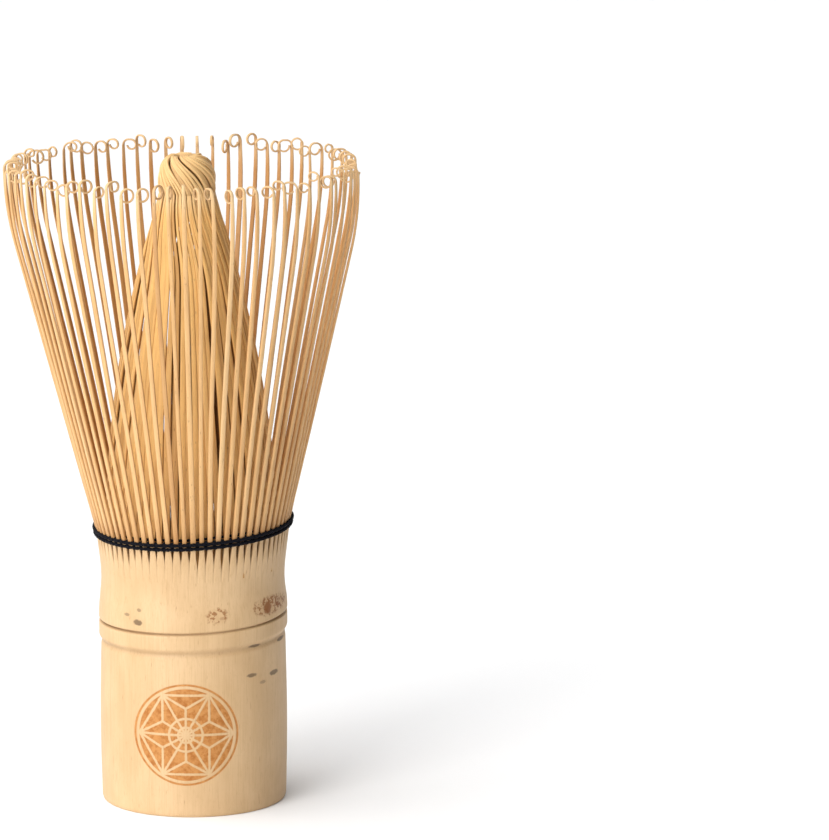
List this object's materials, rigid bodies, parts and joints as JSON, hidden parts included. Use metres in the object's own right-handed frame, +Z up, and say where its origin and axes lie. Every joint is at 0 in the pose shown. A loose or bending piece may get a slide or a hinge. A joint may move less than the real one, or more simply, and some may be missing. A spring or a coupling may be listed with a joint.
{
  "type": "bamboo tea whisk",
  "caption": "Bamboo tea whisk: hollow culm handle with a node ring, split into a flared ring of springy curled tines round an inner cone of tines, bound at the root with black thread.",
  "frame": {"origin": "centre of the handle's foot, on the face it stands on and on the handle's axis", "axes": "+Z up along the handle to the tips; the whisk's front, with the engraved motif, faces -Y"},
  "size_m": [0.0573, 0.0572, 0.1058],
  "materials": {
    "bamboo_handle": "smooth bare bamboo with fine upright fibres",
    "bamboo_tines": "split bamboo, satin skin outside and fibrous sides",
    "bamboo_inner_tines": "split bamboo, matt and slightly darker",
    "bamboo_knot": "twisted bamboo splints, satin",
    "cotton_thread": "black twisted cotton, matt"
  },
  "bodies": {
    "handle": {"handle_culm": "bamboo_handle", "inner_tines_01": "bamboo_inner_tines", "inner_tines_02": "bamboo_inner_tines", "inner_tines_03": "bamboo_inner_tines", "inner_tines_04": "bamboo_inner_tines", "inner_tines_05": "bamboo_inner_tines", "inner_tines_06": "bamboo_inner_tines", "inner_tines_07": "bamboo_inner_tines", "inner_tines_08": "bamboo_inner_tines", "inner_tines_09": "bamboo_inner_tines", "inner_tines_10": "bamboo_inner_tines", "inner_tines_11": "bamboo_inner_tines", "inner_tines_12": "bamboo_inner_tines", "inner_tines_13": "bamboo_inner_tines", "inner_tines_14": "bamboo_inner_tines", "inner_tines_15": "bamboo_inner_tines", "inner_tines_16": "bamboo_inner_tines", "inner_tines_17": "bamboo_inner_tines", "inner_tines_18": "bamboo_inner_tines", "inner_tip_knot": "bamboo_knot", "thread_turn_1": "cotton_thread", "thread_turn_2": "cotton_thread", "thread_turn_3": "cotton_thread"},
    "tines_01": {"outer_tines_01": "bamboo_tines"},
    "tines_02": {"outer_tines_02": "bamboo_tines"},
    "tines_03": {"outer_tines_03": "bamboo_tines"},
    "tines_04": {"outer_tines_04": "bamboo_tines"},
    "tines_05": {"outer_tines_05": "bamboo_tines"},
    "tines_06": {"outer_tines_06": "bamboo_tines"},
    "tines_07": {"outer_tines_07": "bamboo_tines"},
    "tines_08": {"outer_tines_08": "bamboo_tines"},
    "tines_09": {"outer_tines_09": "bamboo_tines"},
    "tines_10": {"outer_tines_10": "bamboo_tines"},
    "tines_11": {"outer_tines_11": "bamboo_tines"},
    "tines_12": {"outer_tines_12": "bamboo_tines"},
    "tines_13": {"outer_tines_13": "bamboo_tines"},
    "tines_14": {"outer_tines_14": "bamboo_tines"},
    "tines_15": {"outer_tines_15": "bamboo_tines"},
    "tines_16": {"outer_tines_16": "bamboo_tines"},
    "tines_17": {"outer_tines_17": "bamboo_tines"},
    "tines_18": {"outer_tines_18": "bamboo_tines"}
  },
  "joints": [
    {"name": "tines_01_flex", "type": "hinge", "parent": "handle", "child": "tines_01", "pos_m": [0.0155, 0, 0.04578], "axis": [0, 1, 0], "range_deg": [-3, 6], "stiffness_Nm_per_rad": 0.009},
    {"name": "tines_02_flex", "type": "hinge", "parent": "handle", "child": "tines_02", "pos_m": [0.01456, 0.0053, 0.04573], "axis": [-0.342, 0.9397, 0], "range_deg": [-3, 6], "stiffness_Nm_per_rad": 0.009},
    {"name": "tines_03_flex", "type": "hinge", "parent": "handle", "child": "tines_03", "pos_m": [0.01186, 0.00995, 0.0456], "axis": [-0.6428, 0.766, 0], "range_deg": [-3, 6], "stiffness_Nm_per_rad": 0.009},
    {"name": "tines_04_flex", "type": "hinge", "parent": "handle", "child": "tines_04", "pos_m": [0.00773, 0.01338, 0.04539], "axis": [-0.866, 0.5, 0], "range_deg": [-3, 6], "stiffness_Nm_per_rad": 0.009},
    {"name": "tines_05_flex", "type": "hinge", "parent": "handle", "child": "tines_05", "pos_m": [0.00268, 0.01518, 0.04514], "axis": [-0.9848, 0.1736, 0], "range_deg": [-3, 6], "stiffness_Nm_per_rad": 0.009},
    {"name": "tines_06_flex", "type": "hinge", "parent": "handle", "child": "tines_06", "pos_m": [-0.00267, 0.01515, 0.04486], "axis": [-0.9848, -0.1736, 0], "range_deg": [-3, 6], "stiffness_Nm_per_rad": 0.009},
    {"name": "tines_07_flex", "type": "hinge", "parent": "handle", "child": "tines_07", "pos_m": [-0.00768, 0.01329, 0.04461], "axis": [-0.866, -0.5, 0], "range_deg": [-3, 6], "stiffness_Nm_per_rad": 0.009},
    {"name": "tines_08_flex", "type": "hinge", "parent": "handle", "child": "tines_08", "pos_m": [-0.01174, 0.00985, 0.0444], "axis": [-0.6428, -0.766, 0], "range_deg": [-3, 6], "stiffness_Nm_per_rad": 0.009},
    {"name": "tines_09_flex", "type": "hinge", "parent": "handle", "child": "tines_09", "pos_m": [-0.01438, 0.00524, 0.04427], "axis": [-0.342, -0.9397, 0], "range_deg": [-3, 6], "stiffness_Nm_per_rad": 0.009},
    {"name": "tines_10_flex", "type": "hinge", "parent": "handle", "child": "tines_10", "pos_m": [-0.0153, 0, 0.04422], "axis": [0, -1, 0], "range_deg": [-3, 6], "stiffness_Nm_per_rad": 0.009},
    {"name": "tines_11_flex", "type": "hinge", "parent": "handle", "child": "tines_11", "pos_m": [-0.01438, -0.00524, 0.04427], "axis": [0.342, -0.9397, 0], "range_deg": [-3, 6], "stiffness_Nm_per_rad": 0.009},
    {"name": "tines_12_flex", "type": "hinge", "parent": "handle", "child": "tines_12", "pos_m": [-0.01174, -0.00985, 0.0444], "axis": [0.6428, -0.766, 0], "range_deg": [-3, 6], "stiffness_Nm_per_rad": 0.009},
    {"name": "tines_13_flex", "type": "hinge", "parent": "handle", "child": "tines_13", "pos_m": [-0.00768, -0.01329, 0.04461], "axis": [0.866, -0.5, 0], "range_deg": [-3, 6], "stiffness_Nm_per_rad": 0.009},
    {"name": "tines_14_flex", "type": "hinge", "parent": "handle", "child": "tines_14", "pos_m": [-0.00267, -0.01515, 0.04486], "axis": [0.9848, -0.1736, 0], "range_deg": [-3, 6], "stiffness_Nm_per_rad": 0.009},
    {"name": "tines_15_flex", "type": "hinge", "parent": "handle", "child": "tines_15", "pos_m": [0.00268, -0.01518, 0.04514], "axis": [0.9848, 0.1736, 0], "range_deg": [-3, 6], "stiffness_Nm_per_rad": 0.009},
    {"name": "tines_16_flex", "type": "hinge", "parent": "handle", "child": "tines_16", "pos_m": [0.00773, -0.01338, 0.04539], "axis": [0.866, 0.5, 0], "range_deg": [-3, 6], "stiffness_Nm_per_rad": 0.009},
    {"name": "tines_17_flex", "type": "hinge", "parent": "handle", "child": "tines_17", "pos_m": [0.01186, -0.00995, 0.0456], "axis": [0.6428, 0.766, 0], "range_deg": [-3, 6], "stiffness_Nm_per_rad": 0.009},
    {"name": "tines_18_flex", "type": "hinge", "parent": "handle", "child": "tines_18", "pos_m": [0.01456, -0.0053, 0.04573], "axis": [0.342, 0.9397, 0], "range_deg": [-3, 6], "stiffness_Nm_per_rad": 0.009}
  ]
}
